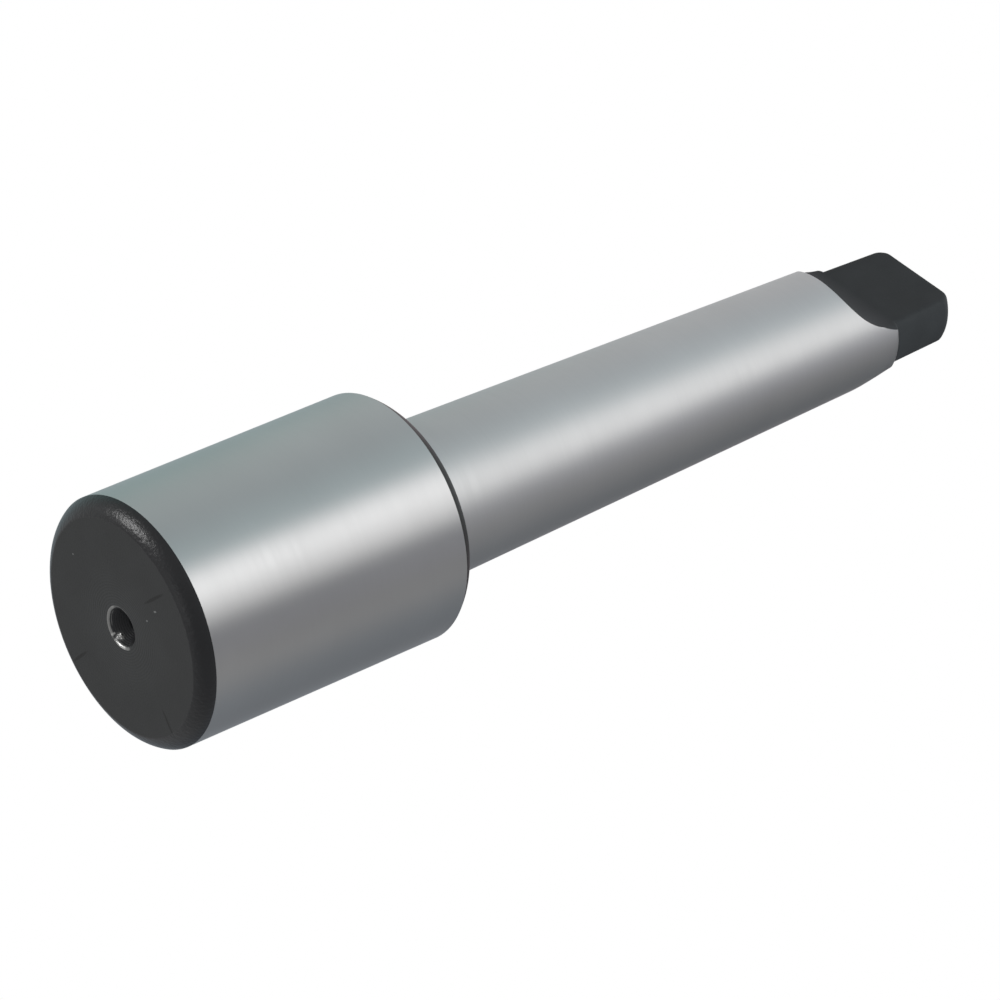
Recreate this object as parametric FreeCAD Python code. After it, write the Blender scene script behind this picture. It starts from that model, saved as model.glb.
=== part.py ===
import FreeCAD, Part
import math
import os

from FreeCAD import Vector

# Blank-end arbor with a self-holding taper shank, size 3, and a driving tang.
# One bar of steel, turned, milled at the tang, hardened on the shank and ground:
# a plain cylindrical head that the user machines to suit, a long slow taper that
# wedges in a machine spindle, and a flat tang that a drift knocks out.
# Millimetres. The arbor stands on its head: the origin is the centre of the front
# face, +Z runs along the axis to the tang, and the two tang flats face -Y and +Y.

# Head: the plain cylinder. Its front edge is a wide chamfer, turned a little round,
# and its rear edge a small quarter round
head_diameter = 38.0
head_length = 48.8
front_edge_length = 2.2
front_edge_width = 2.45
front_edge_radius = 4.5
rear_edge_radius = 1.3
shoulder_fillet_radius = 0.8

# Shank: the taper is given by its diameter at the gauge line and by the length over
# which the diameter drops by one millimetre. Its small end is broken at 45 degrees
gauge_diameter = 23.825
gauge_line_from_shoulder = 10.2
length_per_diameter_mm = 19.922
ground_length = 91.85
small_end_break = 0.4

# Tang: turned a little smaller than the taper and a little conical, with a rounded and
# slightly crowned end, then milled to two flats that end in hollow run-outs
tang_length = 12.45
tang_root_diameter = 18.4
tang_end_diameter = 17.5
tang_corner_radius = 2.0
tang_end_crown = 0.3
tang_thickness = 7.9
tang_flat_length = 12.0
tang_runout_radius = 10.0

# Centre hole in the front face, with a short blunt lip that guards its 60 degree seat
centre_mouth_diameter = 6.7
centre_seat_diameter = 5.8
centre_pilot_diameter = 3.15
centre_pilot_length = 4.0

# Smaller centre hole in the end of the tang
tang_centre_mouth_diameter = 5.3
tang_centre_pilot_diameter = 2.5
tang_centre_pilot_length = 3.2

# Angles of the centre drill, each from the axis to the wall of the cone
seat_half_angle = math.radians(30.0)
lip_half_angle = math.radians(60.0)
drill_point_half_angle = math.radians(59.0)

# Stations along the axis
shoulder_z = head_length
gauge_z = shoulder_z + gauge_line_from_shoulder
small_end_z = shoulder_z + ground_length
tang_rim_z = small_end_z + tang_length
tang_end_z = tang_rim_z + tang_end_crown
flat_root_z = tang_rim_z - tang_flat_length

# The crown of the tang's end is part of a sphere
tang_rim_radius = tang_end_diameter / 2 - tang_corner_radius
tang_crown_radius = (tang_rim_radius ** 2 + tang_end_crown ** 2) / (2 * tang_end_crown)


def taper_radius(z):
    """Radius of the ground taper at height z."""
    return gauge_diameter / 2 - (z - gauge_z) / (2 * length_per_diameter_mm)


def tang_crown_z(r):
    """Height of the crowned tang end at radius r."""
    return tang_end_z - tang_crown_radius + math.sqrt(tang_crown_radius ** 2 - r ** 2)


def cone_depth(outer_radius, inner_radius, half_angle):
    """Length along the axis of a cone between two radii."""
    return (outer_radius - inner_radius) / math.tan(half_angle)


class HalfSection:
    """Outline of the half section, in the plane y = 0, drawn edge after edge."""

    def __init__(self, r, z):
        self.first = Vector(r, 0, z)
        self.last = self.first
        self.edges = []

    def line(self, r, z):
        """Straight edge to the point at radius r and height z."""
        end = Vector(r, 0, z)
        self.edges.append(Part.LineSegment(self.last, end).toShape())
        self.last = end

    def arc(self, r, z, radius, hollow=False):
        """Arc of that radius to the point (r, z), crowned away from the metal or hollow."""
        end = Vector(r, 0, z)
        chord = end - self.last
        half_chord = chord.Length / 2
        rise = radius - math.sqrt(max(radius * radius - half_chord * half_chord, 0))
        outwards = Vector(chord.z, 0, -chord.x).normalize()
        if hollow:
            outwards = -outwards
        middle = self.last + chord / 2 + outwards * rise
        self.edges.append(Part.Arc(self.last, middle, end).toShape())
        self.last = end

    def revolved(self):
        """Solid made by one full turn of the closed outline about the axis."""
        self.edges.append(Part.LineSegment(self.last, self.first).toShape())
        face = Part.Face(Part.Wire(self.edges))
        return face.revolve(Vector(0, 0, 0), Vector(0, 0, 1), 360)


def front_hole_outline():
    """Points (r, z) of the front centre hole, from its rim in the face to the drill point."""
    mouth = centre_mouth_diameter / 2
    seat = centre_seat_diameter / 2
    pilot = centre_pilot_diameter / 2
    seat_z = cone_depth(mouth, seat, lip_half_angle)
    pilot_z = seat_z + cone_depth(seat, pilot, seat_half_angle)
    bottom_z = pilot_z + centre_pilot_length
    point_z = bottom_z + cone_depth(pilot, 0, drill_point_half_angle)
    return [(mouth, 0), (seat, seat_z), (pilot, pilot_z), (pilot, bottom_z), (0, point_z)]


def tang_hole_outline():
    """Points (r, z) of the centre hole in the tang's end, from its rim to the drill point."""
    mouth = tang_centre_mouth_diameter / 2
    pilot = tang_centre_pilot_diameter / 2
    mouth_z = tang_crown_z(mouth)
    pilot_z = mouth_z - cone_depth(mouth, pilot, seat_half_angle)
    bottom_z = pilot_z - tang_centre_pilot_length
    point_z = bottom_z - cone_depth(pilot, 0, drill_point_half_angle)
    return [(mouth, mouth_z), (pilot, pilot_z), (pilot, bottom_z), (0, point_z)]


def draw_head(section):
    """Front face, chamfered front edge, ground barrel, rounded rear edge and shoulder."""
    radius = head_diameter / 2
    section.line(radius - front_edge_width, 0)
    section.arc(radius, front_edge_length, front_edge_radius)
    section.line(radius, shoulder_z - rear_edge_radius)
    section.arc(radius - rear_edge_radius, shoulder_z, rear_edge_radius)
    fillet_z = shoulder_z + shoulder_fillet_radius
    section.line(taper_radius(fillet_z) + shoulder_fillet_radius, shoulder_z)
    section.arc(taper_radius(fillet_z), fillet_z, shoulder_fillet_radius, hollow=True)


def draw_shank(section):
    """Ground taper, its broken small end and the step down to the tang."""
    break_z = small_end_z - small_end_break
    section.line(taper_radius(break_z), break_z)
    section.line(taper_radius(break_z) - small_end_break, small_end_z)
    section.line(tang_root_diameter / 2, small_end_z)


def draw_tang(section):
    """Conical side of the tang, its rounded corner and its crowned end, up to the hole."""
    mouth = tang_centre_mouth_diameter / 2
    section.line(tang_end_diameter / 2, tang_rim_z - tang_corner_radius)
    section.arc(tang_rim_radius, tang_rim_z, tang_corner_radius)
    section.arc(mouth, tang_crown_z(mouth), tang_crown_radius)


def turned_blank():
    """Everything that is round, as one turn of the half section."""
    front_hole = front_hole_outline()[::-1]
    section = HalfSection(*front_hole[0])
    for r, z in front_hole[1:]:
        section.line(r, z)
    draw_head(section)
    draw_shank(section)
    draw_tang(section)
    for r, z in tang_hole_outline()[1:]:
        section.line(r, z)
    return section.revolved()


def flat_cutter(side):
    """Metal that the mill takes off one side of the tang: flat, then a hollow run-out.

    The section lies in the y-z plane: the tang's flat, a quarter circle of the cutter's
    radius that leaves the flat tangent to it, and straight lines well outside the shank.
    """
    flat_y = side * tang_thickness / 2
    centre_y = flat_y + side * tang_runout_radius
    clear_y = side * (gauge_diameter + tang_runout_radius)
    clear_z = tang_end_z + tang_runout_radius
    arc_bottom_z = flat_root_z - tang_runout_radius
    slant = tang_runout_radius * math.sin(math.pi / 4)
    flat_top = Vector(0, flat_y, clear_z)
    flat_root = Vector(0, flat_y, flat_root_z)
    arc_middle = Vector(0, centre_y - side * slant, flat_root_z - slant)
    arc_end = Vector(0, centre_y, arc_bottom_z)
    outer_bottom = Vector(0, clear_y, arc_bottom_z)
    outer_top = Vector(0, clear_y, clear_z)
    edges = [
        Part.LineSegment(flat_top, flat_root).toShape(),
        Part.Arc(flat_root, arc_middle, arc_end).toShape(),
        Part.LineSegment(arc_end, outer_bottom).toShape(),
        Part.LineSegment(outer_bottom, outer_top).toShape(),
        Part.LineSegment(outer_top, flat_top).toShape(),
    ]
    face = Part.Face(Part.Wire(edges))
    face.translate(Vector(-gauge_diameter, 0, 0))
    return face.extrude(Vector(2 * gauge_diameter, 0, 0))


arbor = turned_blank()
for side in (-1, 1):
    arbor = arbor.cut(flat_cutter(side))
arbor = arbor.removeSplitter().Solids[0]

os.makedirs("parts", exist_ok=True)
arbor.exportStep("parts/arbor.step")
print("arbor", arbor.ShapeType, "valid", arbor.isValid(), "volume cm3", round(arbor.Volume / 1000, 2))
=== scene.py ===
import math

import bmesh
import bpy
import numpy as np
from mathutils import Matrix, Vector


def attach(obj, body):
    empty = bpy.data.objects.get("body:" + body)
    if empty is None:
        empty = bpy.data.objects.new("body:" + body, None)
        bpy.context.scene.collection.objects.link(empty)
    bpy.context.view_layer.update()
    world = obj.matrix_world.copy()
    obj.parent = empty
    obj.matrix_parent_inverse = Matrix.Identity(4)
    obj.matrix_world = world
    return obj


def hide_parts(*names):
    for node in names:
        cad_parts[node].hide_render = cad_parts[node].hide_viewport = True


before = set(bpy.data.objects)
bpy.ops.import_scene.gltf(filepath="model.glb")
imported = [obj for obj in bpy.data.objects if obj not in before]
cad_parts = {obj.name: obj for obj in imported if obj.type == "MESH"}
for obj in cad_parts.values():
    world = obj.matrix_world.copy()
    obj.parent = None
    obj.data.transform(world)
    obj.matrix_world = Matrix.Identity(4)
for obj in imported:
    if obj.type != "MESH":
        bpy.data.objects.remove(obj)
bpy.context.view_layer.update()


# Arbor bar
# One bar of tool steel, turned between centres from the front centre hole to the tang, milled
# to two flats at the tang, hardened, and ground on its head and its long taper. Sizes are in
# millimetres, and a point of the half section is its height above the front face and its radius.

def straight(start, end, spans=1):
    """Evenly spaced points on a line from start up to, but without, end."""
    return np.array(start) + (np.array(end) - start) * np.arange(spans)[:, None] / spans


def stretch(start, end, spans, short):
    """A line as straight draws it, with one more span at each end that is only that short, so
    that the smooth shading of the edges beside it stays off the rest of the line."""
    start, end = np.array(start), np.array(end)
    step = short * (end - start) / np.hypot(*(end - start))
    return np.concatenate([
        straight(start, start + step), straight(start + step, end - step, spans),
        straight(end - step, end)])


def on_circle(centre, radius, angle):
    """Points of a circle at angles in degrees from the outward direction: height = centre +
    radius sin(angle), radius = centre + radius cos(angle)."""
    angle = np.radians(angle)
    return np.array(centre) + radius * np.stack([np.sin(angle), np.cos(angle)], -1)


def rounding(centre, radius, first, last, spans):
    """Evenly spaced points on a circle from the first angle up to, but without, the last."""
    return on_circle(centre, radius, first + (last - first) * np.arange(spans) / spans)


def crowned(start, end, radius, spans):
    """Points on a slightly bulging edge from start up to, but without, end: an arc of that
    radius, whose centre lies sqrt(radius^2 - half chord^2) inside the middle of the chord."""
    start, end = np.array(start), np.array(end)
    half = (end - start) / 2
    outward = np.array([-half[1], half[0]]) / np.hypot(*half)
    centre = start + half - outward * math.sqrt(radius ** 2 - half @ half)
    first, last = (math.degrees(math.atan2(*(point - centre))) for point in (start, end))
    return rounding(centre, radius, first, last, spans)


GAUGE_LINE, GAUGE_RADIUS, LENGTH_PER_MM_OF_RADIUS = 59.0, 11.9125, 39.844


def taper_radius(height):
    """Radius of the ground taper, which falls evenly with the height from the gauge line."""
    return GAUGE_RADIUS - (height - GAUGE_LINE) / LENGTH_PER_MM_OF_RADIUS


# Front centre hole: drill point, pilot bore, 60 degree seat and a rounded lip. The centre
# drill left fine rings on the seat, which are waves square to it
MOUTH_RADIUS, LIP_ROUNDING, PILOT_RADIUS = 3.35, 0.42, 1.575
DRILL_POINT, PILOT_END, PILOT_START = (7.501, 0.0), (6.555, PILOT_RADIUS), (2.6, PILOT_RADIUS)
SEAT_END, SEAT_START, SEAT_ANGLE = (2.555, PILOT_RADIUS), (0.26, 2.9), math.radians(30)
SEAT_RINGS, SEAT_RING_HEIGHT, SEAT_SPANS = 8, 0.024, 64
seat = straight(SEAT_END, SEAT_START, SEAT_SPANS)
wave = (np.cos(2 * math.pi * SEAT_RINGS * np.arange(SEAT_SPANS) / SEAT_SPANS) - 1) / 2
seat += SEAT_RING_HEIGHT * wave[:, None] * [math.sin(SEAT_ANGLE), math.cos(SEAT_ANGLE)]
half_section = [
    ("hole", straight(DRILL_POINT, PILOT_END, 3)),
    ("hole", straight(PILOT_END, PILOT_START, 6)),
    ("hole", straight(PILOT_START, SEAT_END)),
    ("hole", seat),
    ("hole", rounding((LIP_ROUNDING, MOUTH_RADIUS), LIP_ROUNDING, 205, 270, 8)),
]

# Front of the head: a flat face and a crowned chamfer, with a small rounding between them
# that runs into the chamfer's arc, 67.4 degrees from the outward direction
HEAD_RADIUS = 19.0
FACE_ROUNDING, FACE_ROUNDING_END = 0.8, -67.4
FRONT_CHAMFER_LENGTH, FRONT_CHAMFER_CROWN = 2.2, 4.5
face_edge = (0.0, 16.399)
rounding_centre = (FACE_ROUNDING, face_edge[1])
front_chamfer_start = on_circle(rounding_centre, FACE_ROUNDING, FACE_ROUNDING_END)
barrel_start = (FRONT_CHAMFER_LENGTH, HEAD_RADIUS)
half_section += [
    ("face", stretch((0.0, MOUTH_RADIUS), face_edge, 18, 0.1)),
    # The rounding takes the chamfer's darker black, which paints a dark line of shade along the
    # crease beside the face
    ("chamfer", rounding(rounding_centre, FACE_ROUNDING, -90, FACE_ROUNDING_END, 4)),
    ("chamfer", crowned(front_chamfer_start, barrel_start, FRONT_CHAMFER_CROWN, 18)),
]

# Barrel and rear of the head: the ground cylinder, a crowned chamfer, the flat shoulder and
# the hollow fillet to the shank, whose radius is negative because its centre lies outside
SHOULDER, FILLET = 49.2, 0.8
REAR_CHAMFER_LENGTH, REAR_CHAMFER_WIDTH, REAR_CHAMFER_CROWN = 2.0, 1.8, 9.0
barrel_end = (SHOULDER - REAR_CHAMFER_LENGTH, HEAD_RADIUS)
shoulder_rim = (SHOULDER, HEAD_RADIUS - REAR_CHAMFER_WIDTH)
shank_root = SHOULDER + FILLET
fillet_radius = taper_radius(shank_root) + FILLET
half_section += [
    ("barrel", stretch(barrel_start, barrel_end, 12, 0.2)),
    ("rear", crowned(barrel_end, shoulder_rim, REAR_CHAMFER_CROWN, 12)),
    ("rear", stretch(shoulder_rim, (SHOULDER, fillet_radius), 3, 0.1)),
    ("rear", rounding((shank_root, fillet_radius), -FILLET, 90, 0, 8)),
]

# The flats lie 3.95 mm from the axis. Towards the head each one rises in a hollow arc of
# 10 mm radius, until it leaves the taper at its apex. The end of the tang is broken a little,
# and the long edges of the flats are rounded more, from 3 mm before the small end
SMALL_END, TANG_RIM, TANG_END = 140.65, 153.1, 153.4
FLAT, RUNOUT_RADIUS, FLAT_ROOT, TANG_EDGE = 3.95, 10.0, 141.1, 0.5
LONG_EDGE, LONG_EDGE_RUN = 1.0, 3.0


def flat_height(height):
    """Distance of the milled surface from the axis: flat beyond the root, below it the arc
    flat + R - sqrt(R^2 - (root - height)^2), and a quarter circle at the very end."""
    back = np.clip(FLAT_ROOT - height, 0, RUNOUT_RADIUS - 1e-6)
    arc = FLAT + RUNOUT_RADIUS - np.sqrt(RUNOUT_RADIUS ** 2 - back ** 2)
    over = np.clip(height - (TANG_RIM - TANG_EDGE), 0, TANG_EDGE)
    return arc - TANG_EDGE + np.sqrt(TANG_EDGE ** 2 - over ** 2)


# The apex is found by halving: nearer the head the milled surface lies outside the taper
low, high = FLAT_ROOT - RUNOUT_RADIUS, FLAT_ROOT
for _ in range(60):
    apex = (low + high) / 2
    low, high = (apex, high) if flat_height(apex) > taper_radius(apex) else (low, apex)

# Taper and tang: the rows crowd towards the apex, where the border of the flat turns fastest.
# The taper's small end is rounded, and the tang is turned smaller and narrows to its rim
TAPER_SPANS, LAST_ROUND_ROW, RUNOUT_SPANS = 14, 131.4, 44
SMALL_END_ROUNDING, TANG_CORNER = 0.45, 2.0
TANG_ROOT, TANG_SIDE_END = (SMALL_END + 0.15, 9.194), (151.1, 8.75)
taper_end = SMALL_END - SMALL_END_ROUNDING
small_end_radius = taper_radius(taper_end) - SMALL_END_ROUNDING
corner_centre = (TANG_SIDE_END[0], TANG_SIDE_END[1] - TANG_CORNER)
taper_heights = np.concatenate([
    [shank_root],
    np.linspace(shank_root + 0.2, LAST_ROUND_ROW, TAPER_SPANS, endpoint=False),
    [LAST_ROUND_ROW],
    apex + (taper_end - apex) * (np.arange(RUNOUT_SPANS) / RUNOUT_SPANS) ** 2])
half_section += [
    ("taper", np.stack([taper_heights, taper_radius(taper_heights)], 1)),
    ("taper", rounding((taper_end, small_end_radius), SMALL_END_ROUNDING, 0, 78, 6)),
    ("tang", straight((SMALL_END, small_end_radius), TANG_ROOT, 2)),
    ("tang", straight(TANG_ROOT, TANG_SIDE_END, 14)),
    ("tang", rounding(corner_centre, TANG_CORNER, 0, 48, 7)),
    ("tang", rounding(corner_centre, TANG_CORNER, 48, 90, 12)),
    ("tang", np.array([[TANG_RIM, corner_centre[1]]])),
]

ARC_SPANS, CORNER_SPANS, FLAT_SPANS = 92, 6, 32


def milled_sections(radius, flat, corner):
    """Outlines of a round bar milled on two sides, one row per station. Each is the circle of
    that radius cut by the lines y = flat and y = -flat, and a circle of the corner radius,
    tangent inside to both, rounds each edge. Its centre lies at the angle whose sine is
    (flat - corner) / (radius - corner). Where that passes 1 the line shrinks to a point and
    the outline is the whole circle. The second half is the first one turned by 180 degrees."""
    radius, flat, corner = radius[:, None], flat[:, None], corner[:, None]
    start = np.arcsin(np.clip((flat - corner) / np.maximum(radius - corner, 1e-6), 0, 1))
    centre = (radius - corner) * np.exp(1j * start)
    arc = radius * np.exp(1j * start * np.linspace(-1, 1, ARC_SPANS + 1))
    share = np.linspace(0, 1, CORNER_SPANS + 1)[1:]
    edge = centre + corner * np.exp(1j * (start + (math.pi / 2 - start) * share))
    across = np.linspace(1, -1, FLAT_SPANS + 1)[1:-1]
    line = centre.real * across + 1j * (centre.imag + corner)
    half = np.concatenate([arc, edge, line, -edge.conj()[:, ::-1]], 1)
    return np.concatenate([half, -half], 1)


heights, radii = np.concatenate([points for _, points in half_section]).T
flats = np.where(heights < apex, np.inf, flat_height(heights))
corners = LONG_EDGE * np.clip((heights - SMALL_END) / LONG_EDGE_RUN + 1, 0, 1)
outline = milled_sections(radii, flats, corners)

# The end face runs from the tang's outline in to its own small centre hole, each point
# straight towards the axis. It rises to a crown, part of a sphere: height = end - distance
# from the axis squared / twice the sphere's radius. The hole's rows keep those directions
CROWN_RADIUS, END_MOUTH = 76.0, 2.65
rim = outline[-1]
towards = rim / np.abs(rim)
share = np.array([0.03, 0.35, 0.7, 0.97])[:, None]
end_face = rim * (1 - share) + END_MOUTH * towards * share
end_hole = np.array([
    (TANG_END - END_MOUTH ** 2 / (2 * CROWN_RADIUS), END_MOUTH),
    (153.26, 2.592), (150.93, 1.25), (147.73, 1.25), (146.98, 0.0)])
outline = np.concatenate([outline, end_face, end_hole[:, 1:] * towards])
rows, columns = outline.shape
heights = np.concatenate([
    np.repeat(heights[:, None], columns, 1),
    TANG_END - np.abs(end_face) ** 2 / (2 * CROWN_RADIUS),
    np.repeat(end_hole[:, :1], columns, 1)])


def turn_from(angle, direction):
    """Turn in degrees from a direction to an angle in radians, between -180 and 180."""
    return (np.degrees(angle) - direction + 180) % 360 - 180


def window(angle, first, last, soft):
    """1 between two angles in degrees, falling evenly to 0 over the soft width beside them."""
    turn = turn_from(angle, (first + last) / 2)
    return np.clip(1 + (last - first) / (2 * soft) - np.abs(turn) / soft, 0, 1)


def bell(value, middle, width):
    """1 where the value is in the middle, falling off as exp(-((value - middle) / width)^2)."""
    return np.exp(-((value - middle) / width) ** 2)


# The centre hole's mouth was knocked: three waves put its lip out of round by some
# hundredths, a nick was struck in it, and that pushed a burr up on the seat beside it
NICK, NICK_DEPTH, BURR, BURR_HEIGHT, KNOCK_DEPTH = 121, 0.16, 111, 0.42, 0.03
angle, reach = np.angle(outline), np.abs(outline)
near_mouth = bell(heights, 0.2, 0.25) * (reach < 3.7)
knock = np.sin(3 * angle + 0.6) + 0.6 * np.sin(7 * angle + 1.9) + 0.4 * np.sin(13 * angle)
nick = window(angle, NICK - 2, NICK + 2, 4) * (1 + 0.5 * np.sin(60 * angle))
burr = bell(turn_from(angle, BURR), 0, 8.5) * bell(heights, 0.78, 0.28) * (reach < 3.2)
burr = burr * (1 + 0.5 * np.sin(45 * angle + 14 * heights))
push = (KNOCK_DEPTH * knock + NICK_DEPTH * nick) * near_mouth - BURR_HEIGHT * burr
outline = outline * (1 + push / np.maximum(reach, 1))

# The black has worn off the lip below the nick, off the burr and off the nick's two rims, and
# in part off the lip above the nick and along a thin ring inside it. 1 is bare steel
lip_worn = (0.38 * window(angle, 130, 225, 14) + 0.14 * window(angle, 225, 285, 10)
            + window(angle, 74, 104, 8) + 0.4 * window(angle, 54, 74, 10))
lip_worn = lip_worn * (heights < 0.2) * (reach < 3.42)
ring_worn = bell(heights, 0.4, 0.035) * window(angle, 160, 205, 10) * (reach < 3.1)
nick_worn = window(angle, NICK - 9, NICK - 7, 3) + window(angle, NICK + 7, NICK + 9, 3)
nick_worn = nick_worn * (heights < 0.4) * (reach < 3.5)
worn = lip_worn + 0.35 * ring_worn + 0.6 * nick_worn + 1.8 * burr

# Each row of faces takes the finish of its stretch of the half section. The end face, its
# hole and the milled faces of the taper have the tang's
FINISHES = ["hole", "face", "chamfer", "barrel", "rear", "taper", "tang"]
finish = [FINISHES.index(name) for name, points in half_section for _ in points]
finish += [FINISHES.index("tang")] * (rows - 1 - len(finish))
finish = np.array(finish)[:, None]
on_flat = np.arange(columns) % (columns // 2) >= ARC_SPANS
milled = on_flat & (finish == FINISHES.index("taper"))
finish = np.where(milled, FINISHES.index("tang"), finish)

# The rows join into one closed surface, whose first and last row merge into points on the
# axis, and an edge that turns by more than the sharp angle shows as an edge
MERGE_DISTANCE, SHARP_ANGLE = 1e-6, math.radians(26)
points = np.stack([outline.real, outline.imag, heights], 2)
index = np.arange(rows * columns).reshape(rows, columns)
around = np.roll(index, -1, 1)
faces = np.stack([index[:-1], around[:-1], around[1:], index[1:]], 2)
mesh = bpy.data.meshes.new("arbor_bar")
mesh.from_pydata(points.reshape(-1, 3) / 1000, [], faces.reshape(-1, 4).tolist())
mesh.polygons.foreach_set("material_index", finish.ravel())
worn_steel = mesh.attributes.new("worn", "FLOAT", "POINT")
worn_steel.data.foreach_set("value", np.clip(worn, 0, 1).ravel())
work = bmesh.new()
work.from_mesh(mesh)
bmesh.ops.remove_doubles(work, verts=work.verts, dist=MERGE_DISTANCE)
work.to_mesh(mesh)
work.free()
mesh.polygons.foreach_set("use_smooth", np.ones(len(mesh.polygons), bool))
mesh.set_sharp_from_angle(angle=SHARP_ANGLE)
arbor = bpy.data.objects.new("arbor_bar", mesh)
bpy.context.scene.collection.objects.link(arbor)


def linear(colour):
    """Linear RGBA of an sRGB hex colour: each channel over 255, then the sRGB curve undone."""
    channels = [int(colour[i:i + 2], 16) / 255 for i in (1, 3, 5)]
    return [c / 12.92 if c <= 0.04045 else ((c + 0.055) / 1.055) ** 2.4 for c in channels] + [1]


def add(tree, kind, inputs=None, **settings):
    """Adds one node, sets its options, then gives each named input its value or its link."""
    made = tree.nodes.new(kind)
    for name, value in settings.items():
        setattr(made, name, value)
    for name, value in (inputs or {}).items():
        if isinstance(value, bpy.types.NodeSocket):
            tree.links.new(value, made.inputs[name])
        else:
            made.inputs[name].default_value = value
    return made


def start_material(name):
    """A new material with an empty node tree, and that tree."""
    made = bpy.data.materials.new(name)
    made.use_nodes = True
    made.node_tree.nodes.clear()
    return made, made.node_tree


# Ground tool steel: the wheel leaves fine rings round the bar, so the sheen is drawn out
# along the axis and the light lies on it in long bands. The real rings, under 0.1 mm apart,
# would not show, so these are 0.36 mm apart, with streaks 25 mm long and clouds of 15 mm
RINGS_PER_MM, RING_STREAK, STEEL_CLOUD = 2.8, 25.0, 15.4


def ground_steel(name, colour, roughness, anisotropy):
    """Cylindrically ground steel: a noise drawn out round the bar gives the rings, which vary
    the roughness by 0.02 and stand in a faint relief, and clouds vary the colour by 2 %."""
    made, tree = start_material(name)
    place = add(tree, "ShaderNodeTexCoord").outputs["Object"]
    rings = add(tree, "ShaderNodeMapping", {
        "Vector": place, "Scale": (1000 / RING_STREAK, 1000 / RING_STREAK, 1000 * RINGS_PER_MM)})
    lines = add(tree, "ShaderNodeTexNoise", {"Vector": rings.outputs[0], "Scale": 1.0, "Detail": 3.0})
    clouds = add(tree, "ShaderNodeTexNoise", {
        "Vector": place, "Scale": 1000 / STEEL_CLOUD, "Detail": 2.0})
    shade = add(tree, "ShaderNodeMapRange", {
        "Value": clouds.outputs[0], "From Min": 0.3, "From Max": 0.7, "To Min": 0.98, "To Max": 1.02})
    base = add(tree, "ShaderNodeHueSaturation", {"Value": shade.outputs[0], "Color": linear(colour)})
    rough = add(tree, "ShaderNodeMapRange", {
        "Value": lines.outputs[0], "From Min": 0.3, "From Max": 0.7,
        "To Min": roughness - 0.02, "To Max": roughness + 0.02})
    bump = add(tree, "ShaderNodeBump", {
        "Strength": 0.06, "Distance": 0.00005, "Height": lines.outputs[0]})
    tangent = add(tree, "ShaderNodeTangent", direction_type="RADIAL", axis="Z")
    shader = add(tree, "ShaderNodeBsdfPrincipled", {
        "Base Color": base.outputs[0], "Metallic": 1.0, "Roughness": rough.outputs[0],
        "Anisotropic": anisotropy, "Anisotropic Rotation": 0.25, "Tangent": tangent.outputs[0],
        "Normal": bump.outputs[0]})
    add(tree, "ShaderNodeOutputMaterial", {"Surface": shader.outputs[0]})
    return made


# The head is ground finer than the taper: its bands of light are crisper along their sides,
# and those on the taper are broad and soft
barrel_steel = ground_steel("ground_steel_head", "#c0c0c0", roughness=0.42, anisotropy=0.7)
taper_steel = ground_steel("ground_steel_taper", "#c0c0c0", roughness=0.5, anisotropy=0.2)

# Steel left black from hardening: the dense dark skin of the quench, dull like slate, with a
# grain that breaks its sheen up, and clouds of 6 mm that are a little lighter and darker
BLACK_CLOUD = 6.25


def blackened_steel(name, colour, roughness, grain, specular=0.5, grain_size=0.3):
    """Blackened steel: a noise of grain_size millimetres gives a relief as strong as grain
    says, and a coarser one varies the colour by 12 %. The real grain is too fine to show, so
    it is drawn 0.3 mm or more across. Returns the material, and what marks are added to: the
    coordinates, the colour, the relief and the shader."""
    made, tree = start_material(name)
    place = add(tree, "ShaderNodeTexCoord").outputs["Object"]
    fine = add(tree, "ShaderNodeTexNoise", {
        "Vector": place, "Scale": 1000 / grain_size, "Detail": 4.0})
    clouds = add(tree, "ShaderNodeTexNoise", {
        "Vector": place, "Scale": 1000 / BLACK_CLOUD, "Detail": 3.0})
    shade = add(tree, "ShaderNodeMapRange", {
        "Value": clouds.outputs[0], "From Min": 0.3, "From Max": 0.7, "To Min": 0.88, "To Max": 1.12})
    base = add(tree, "ShaderNodeHueSaturation", {"Value": shade.outputs[0], "Color": linear(colour)})
    bump = add(tree, "ShaderNodeBump", {
        "Strength": grain, "Distance": 0.0001, "Height": fine.outputs[0]})
    shader = add(tree, "ShaderNodeBsdfPrincipled", {
        "Base Color": base.outputs[0], "Metallic": 0.0, "Roughness": roughness,
        "Specular IOR Level": specular, "Normal": bump.outputs[0]})
    add(tree, "ShaderNodeOutputMaterial", {"Surface": shader.outputs[0]})
    return made, (place, base.outputs[0], bump.outputs[0], shader)


def scar(tree, place, centre, turn, half_length, half_width):
    """A mark on the front face: 1 at its centre, falling evenly to 0 at the outline of a long
    ellipse. Sizes in millimetres, the turn in degrees about the arbor's axis."""
    local = add(tree, "ShaderNodeMapping", {
        "Vector": place, "Location": (centre[0] / 1000, centre[1] / 1000, 0),
        "Rotation": (0, 0, math.radians(turn)),
        "Scale": (half_length / 1000, half_width / 1000, 1)}, vector_type="TEXTURE")
    mark = add(tree, "ShaderNodeTexGradient", {"Vector": local.outputs[0]}, gradient_type="SPHERICAL")
    return mark.outputs["Fac"]


def strongest(tree, masks):
    """The highest of several masks at each point."""
    found = masks[0]
    for mask in masks[1:]:
        found = add(tree, "ShaderNodeMath", {0: found, 1: mask}, operation="MAXIMUM").outputs[0]
    return found


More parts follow.
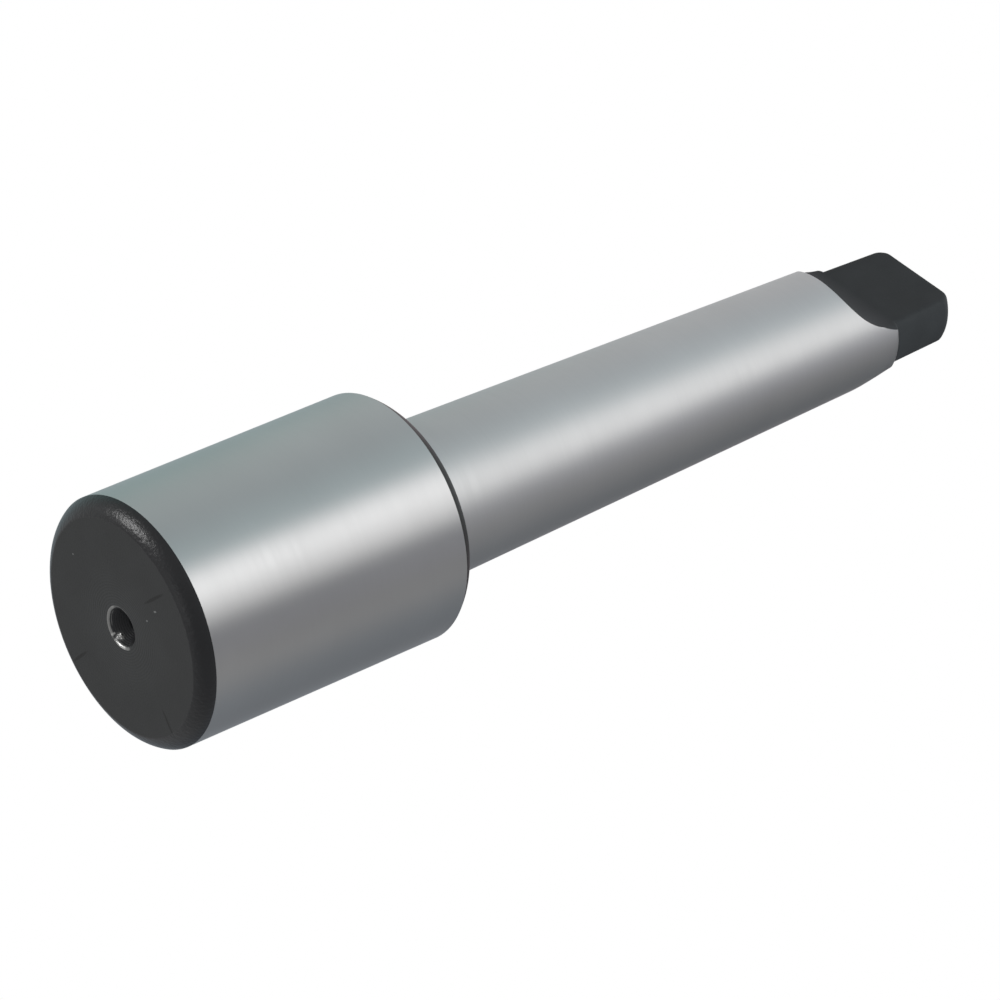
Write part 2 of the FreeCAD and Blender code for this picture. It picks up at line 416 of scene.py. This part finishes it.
# The faced front end: rings of the facing tool 0.43 mm apart, clearest round the centre hole,
# three dark scratches, and three bright specks where the black is knocked off. A wave texture
# turns by 20 radians in one unit, so its scale is rings in a metre times 2 pi / 20
FACING_PITCH, FACING_REACH = 0.4304, 11.0
black_face, (place, base, grain, shader) = blackened_steel(
    "blackened_steel_faced", "#27292a", roughness=0.5, grain=0.25)
tree = black_face.node_tree
rings = add(tree, "ShaderNodeTexWave", {
    "Vector": place, "Scale": 1000 / FACING_PITCH * 2 * math.pi / 20, "Distortion": 1.2,
    "Detail": 2.0, "Detail Scale": 0.15}, wave_type="RINGS", rings_direction="Z")
middle = scar(tree, place, (0, 0), 0, FACING_REACH, FACING_REACH)
cut = add(tree, "ShaderNodeMath", {0: rings.outputs["Fac"], 1: middle}, operation="MULTIPLY")
scratches = strongest(tree, [
    scar(tree, place, (6.8, -9.48), -46.5, 3.4, 0.3),
    scar(tree, place, (-8.8, 10.8), -50.8, 2.8, 0.3),
    scar(tree, place, (11.7, 9.3), 46.5, 2.5, 0.32)])
specks = strongest(tree, [
    scar(tree, place, (7.21, -7.48), -33, 0.42, 0.17),
    scar(tree, place, (5.59, -4.85), -33, 0.26, 0.16),
    scar(tree, place, (-11.73, -5.57), 0, 0.2, 0.15)])
relief = add(tree, "ShaderNodeMath", {0: cut.outputs[0], 1: scratches}, operation="SUBTRACT")
facing = add(tree, "ShaderNodeBump", {
    "Strength": 0.5, "Distance": 0.00003, "Height": relief.outputs[0], "Normal": grain})
ring_shade = add(tree, "ShaderNodeMapRange", {"Value": cut.outputs[0], "To Min": 0.9, "To Max": 1.75})
scratch_shade = add(tree, "ShaderNodeMapRange", {
    "Value": scratches, "From Max": 0.4, "To Min": 1.0, "To Max": 0.1})
shades = add(tree, "ShaderNodeMath", {
    0: ring_shade.outputs[0], 1: scratch_shade.outputs[0]}, operation="MULTIPLY")
scored = add(tree, "ShaderNodeHueSaturation", {"Value": shades.outputs[0], "Color": base})
speck_share = add(tree, "ShaderNodeMapRange", {"Value": specks, "From Max": 0.6})
specked = add(tree, "ShaderNodeMix", {
    "Factor": speck_share.outputs[0], "A": scored.outputs[0], "B": linear("#7e8080")},
    data_type="RGBA")
tree.links.new(specked.outputs["Result"], shader.inputs["Base Color"])
tree.links.new(facing.outputs[0], shader.inputs["Normal"])

# The centre hole: a rough black skin over the marks of the drill, with little gloss, and
# bright bare steel where its lip and the burr have worn
black_hole, (_, base, _, shader) = blackened_steel(
    "blackened_steel_drilled", "#2d2e30", roughness=0.42, grain=0.5, specular=0.3)
tree = black_hole.node_tree
bare = add(tree, "ShaderNodeAttribute", attribute_name="worn").outputs["Fac"]
colour = add(tree, "ShaderNodeMix", {
    "Factor": bare, "A": base, "B": linear("#cfcfcd")}, data_type="RGBA")
rough = add(tree, "ShaderNodeMapRange", {"Value": bare, "To Min": 0.42, "To Max": 0.28})
tree.links.new(colour.outputs["Result"], shader.inputs["Base Color"])
tree.links.new(bare, shader.inputs["Metallic"])
tree.links.new(rough.outputs[0], shader.inputs["Roughness"])

# The front chamfer is the glossiest black, and its coarse grain breaks the gloss into sparks. On the
# rounding beside the face, the same darker black paints a line of shade along the crease.
# The rear chamfer and the shoulder are the darkest, and end the bright head in a dark line.
# The milled tang is a matt dark grey
black_chamfer_and_crease_shade, _ = blackened_steel(
    "blackened_steel_chamfer_and_crease_shade", "#1b1c1f", roughness=0.3, grain=0.75, grain_size=0.55)
black_rear, _ = blackened_steel(
    "blackened_steel_rear", "#101112", roughness=0.45, grain=0.3, specular=0.15)
black_milled, _ = blackened_steel(
    "blackened_steel_milled", "#25282a", roughness=0.7, grain=0.2, specular=0.25)

materials = {
    "hole": black_hole, "face": black_face, "chamfer": black_chamfer_and_crease_shade, "barrel": barrel_steel,
    "rear": black_rear, "taper": taper_steel, "tang": black_milled}
for name in FINISHES:
    mesh.materials.append(materials[name])

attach(arbor, "root")
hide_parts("arbor")


# Camera
# It looks up at the front face from below and from one side, 0.8 m away through a long lens,
# and is turned so that the bar points up and to the right. Metres from here on.
CAMERA_PLACE = Vector((0.49582, -0.49237, -0.40008))
SIGHT = Vector((-0.58626, 0.58938, 0.55582))
PICTURE_DOWN = Vector((0.49865, 0.80325, -0.32579))
picture_right = PICTURE_DOWN.cross(SIGHT)
camera = bpy.data.objects.new("camera", bpy.data.cameras.new("camera"))
camera.data.lens = 206.66
camera.data.sensor_width = 36.0
camera.data.clip_end = 50.0
turn = Matrix((picture_right, -PICTURE_DOWN, -SIGHT)).transposed().to_4x4()
camera.matrix_world = Matrix.Translation(CAMERA_PLACE) @ turn
bpy.context.scene.collection.objects.link(camera)
bpy.context.scene.camera = camera


# Studio walls
# A round wall of cards and strip lights about the arbor, which only its reflections see. The
# strip light leans: beside the head it stands straight ahead, and beside the shank it is
# wider and further to the right.
CAMERA_SIDE, WALL_STEPS = -45.05, 360


def wall(name, levels, radius):
    """Part of an upright round wall that glows: x = radius cos(angle), y = radius sin(angle).
    Each level gives a height and its cards: angle in degrees from the bar's side towards the
    camera, strength and tint. Between two cards, and between two levels, the glow runs evenly
    from one to the other."""
    first, last = levels[0][1][0][0], levels[0][1][-1][0]
    angles = np.linspace(first, last, WALL_STEPS + 1)
    glow = []
    for _, cards in levels:
        card_angles = [angle for angle, _, _ in cards]
        channels = np.transpose([strength * np.array(linear(tint)) for _, strength, tint in cards])
        glow.append(np.transpose([np.interp(angles, card_angles, channel) for channel in channels]))
    turn, rise = np.meshgrid(np.radians(CAMERA_SIDE + angles), [height for height, _ in levels])
    spots = np.stack([radius * np.cos(turn), radius * np.sin(turn), rise], 2)
    index = np.arange(turn.size).reshape(turn.shape)
    faces = np.stack([index[:-1, :-1], index[:-1, 1:], index[1:, 1:], index[1:, :-1]], 2)
    made = bpy.data.meshes.new(name)
    made.from_pydata(spots.reshape(-1, 3), [], faces.reshape(-1, 4).tolist())
    made.attributes.new("glow", "FLOAT_COLOR", "POINT").data.foreach_set("color", np.ravel(glow))
    material, tree = start_material(name)
    stored = add(tree, "ShaderNodeAttribute", attribute_name="glow")
    light = add(tree, "ShaderNodeEmission", {"Color": stored.outputs["Color"], "Strength": 1.0})
    add(tree, "ShaderNodeOutputMaterial", {"Surface": light.outputs[0]})
    made.materials.append(material)
    panel = bpy.data.objects.new(name, made)
    panel.visible_camera = panel.visible_diffuse = panel.visible_shadow = False
    panel.visible_transmission = False
    bpy.context.scene.collection.objects.link(panel)


# White cards stand left of the strip light. Right of it a dark gap comes first, then a grey
# card. Below the arbor, where its front face and chamfer look, the wall is dim straight ahead.
# The faint tints are those that the steel shows
COOL, PLAIN, BLUE, ROSE, VIOLET = "#d6fffb", "#ffffff", "#ecf5ff", "#fff1f5", "#eef0ff"
beside_head = [
    (-180, 0.55, BLUE), (-120, 0.53, COOL), (-60, 0.32, COOL), (-25, 0.52, COOL), (-18, 1.6, PLAIN),
    (-10, 2.6, PLAIN), (0, 2.4, PLAIN), (10, 0.6, PLAIN), (18, 0.0, PLAIN), (36, 0.08, PLAIN),
    (50, 0.37, PLAIN), (70, 0.63, PLAIN), (100, 0.45, BLUE), (140, 0.25, BLUE), (180, 0.55, BLUE)]
beside_shank = [
    (-180, 0.85, ROSE), (-120, 1.12, ROSE), (-35, 1.09, BLUE), (-10, 1.1, PLAIN), (0, 1.25, PLAIN),
    (10, 2.55, PLAIN), (18, 3.5, PLAIN), (26, 2.4, PLAIN), (36, 0.58, BLUE), (50, 0.8, VIOLET),
    (70, 0.1, VIOLET), (100, 0.0, VIOLET), (140, 0.0, VIOLET), (180, 0.85, ROSE)]
below = [
    (-180, 0.5, PLAIN), (-130, 0.5, PLAIN), (-60, 0.4, PLAIN), (-20, 0.4, PLAIN), (30, 0.28, PLAIN),
    (90, 0.28, PLAIN), (130, 0.45, PLAIN), (180, 0.5, PLAIN)]
wall("studio_walls", [
    (-7.0, below), (-0.3, below), (0.0, beside_head), (0.81, beside_head), (0.93, beside_shank),
    (3.0, beside_shank)], radius=1.2)

# A small bright panel below, far to the left, lights the chamfer's upper left
low_card = [(-112, 0.0, PLAIN), (-106, 30.0, PLAIN), (-101, 30.0, PLAIN), (-94, 0.0, PLAIN)]
wall("low_panel", [(-1.3, low_card), (-0.9, low_card)], radius=1.1)


# Sky and softbox
# The sky is plain white where the camera, a gloss or a glass sees it, and lights the arbor
# with 0.7 of that. A round softbox hangs above, to the picture's right, and aims at the bar.
SKY_LIGHT, SKY_SEEN = 0.7, 1.0
world = bpy.data.worlds.new("studio")
world.use_nodes = True
bpy.context.scene.world = world
tree = world.node_tree
tree.nodes.clear()
path = add(tree, "ShaderNodeLightPath").outputs
seen = strongest(tree, [path["Is Camera Ray"], path["Is Glossy Ray"], path["Is Transmission Ray"]])
strength = add(tree, "ShaderNodeMapRange", {"Value": seen, "To Min": SKY_LIGHT, "To Max": SKY_SEEN})
sky = add(tree, "ShaderNodeBackground", {"Color": (1, 1, 1, 1), "Strength": strength.outputs[0]})
add(tree, "ShaderNodeOutputWorld", {"Surface": sky.outputs[0]})

SOFTBOX_PLACE, SOFTBOX_AIM = Vector((0.85, -0.2, 1.2)), Vector((0, 0, 0.05))
lamp = bpy.data.lights.new("overhead_softbox", "AREA")
lamp.shape, lamp.size, lamp.energy = "DISK", 0.9, 28.0
softbox = bpy.data.objects.new("overhead_softbox", lamp)
softbox.location = SOFTBOX_PLACE
softbox.rotation_euler = (SOFTBOX_PLACE - SOFTBOX_AIM).to_track_quat("Z", "Y").to_euler()
softbox.visible_glossy = False
bpy.context.scene.collection.objects.link(softbox)


# Floor
# A sheet of pale paper that takes the arbor's shadow. It thins out from 0.35 m to 1 m away, so
# that the white behind it shows no horizon, and from below it cannot be seen at all.
FLOOR_HALF, FLOOR_DROP = 2.0, 0.0002
FLOOR_THIN_FROM, FLOOR_THIN_TO = 0.35, 1.0
sides = [(-1, -1), (1, -1), (1, 1), (-1, 1)]
ground = bpy.data.meshes.new("floor")
ground.from_pydata(
    [(x * FLOOR_HALF, y * FLOOR_HALF, -FLOOR_DROP) for x, y in sides], [], [(0, 1, 2, 3)])
material, tree = start_material("floor_paper")
place = add(tree, "ShaderNodeTexCoord").outputs["Object"]
away = add(tree, "ShaderNodeVectorMath", {0: place}, operation="LENGTH")
thin = add(tree, "ShaderNodeMapRange", {
    "Value": away.outputs["Value"], "From Min": FLOOR_THIN_FROM, "From Max": FLOOR_THIN_TO},
    interpolation_type="SMOOTHSTEP")
side = add(tree, "ShaderNodeNewGeometry")
gone = strongest(tree, [thin.outputs[0], side.outputs["Backfacing"]])
paper = add(tree, "ShaderNodeBsdfDiffuse", {"Color": linear("#f4f4f4")})
clear = add(tree, "ShaderNodeBsdfTransparent")
both = add(tree, "ShaderNodeMixShader", {"Fac": gone, 1: paper.outputs[0], 2: clear.outputs[0]})
add(tree, "ShaderNodeOutputMaterial", {"Surface": both.outputs[0]})
ground.materials.append(material)
floor = bpy.data.objects.new("floor", ground)
floor.visible_diffuse = floor.visible_glossy = floor.visible_shadow = False
bpy.context.scene.collection.objects.link(floor)

bpy.context.scene.view_settings.view_transform = "Standard"
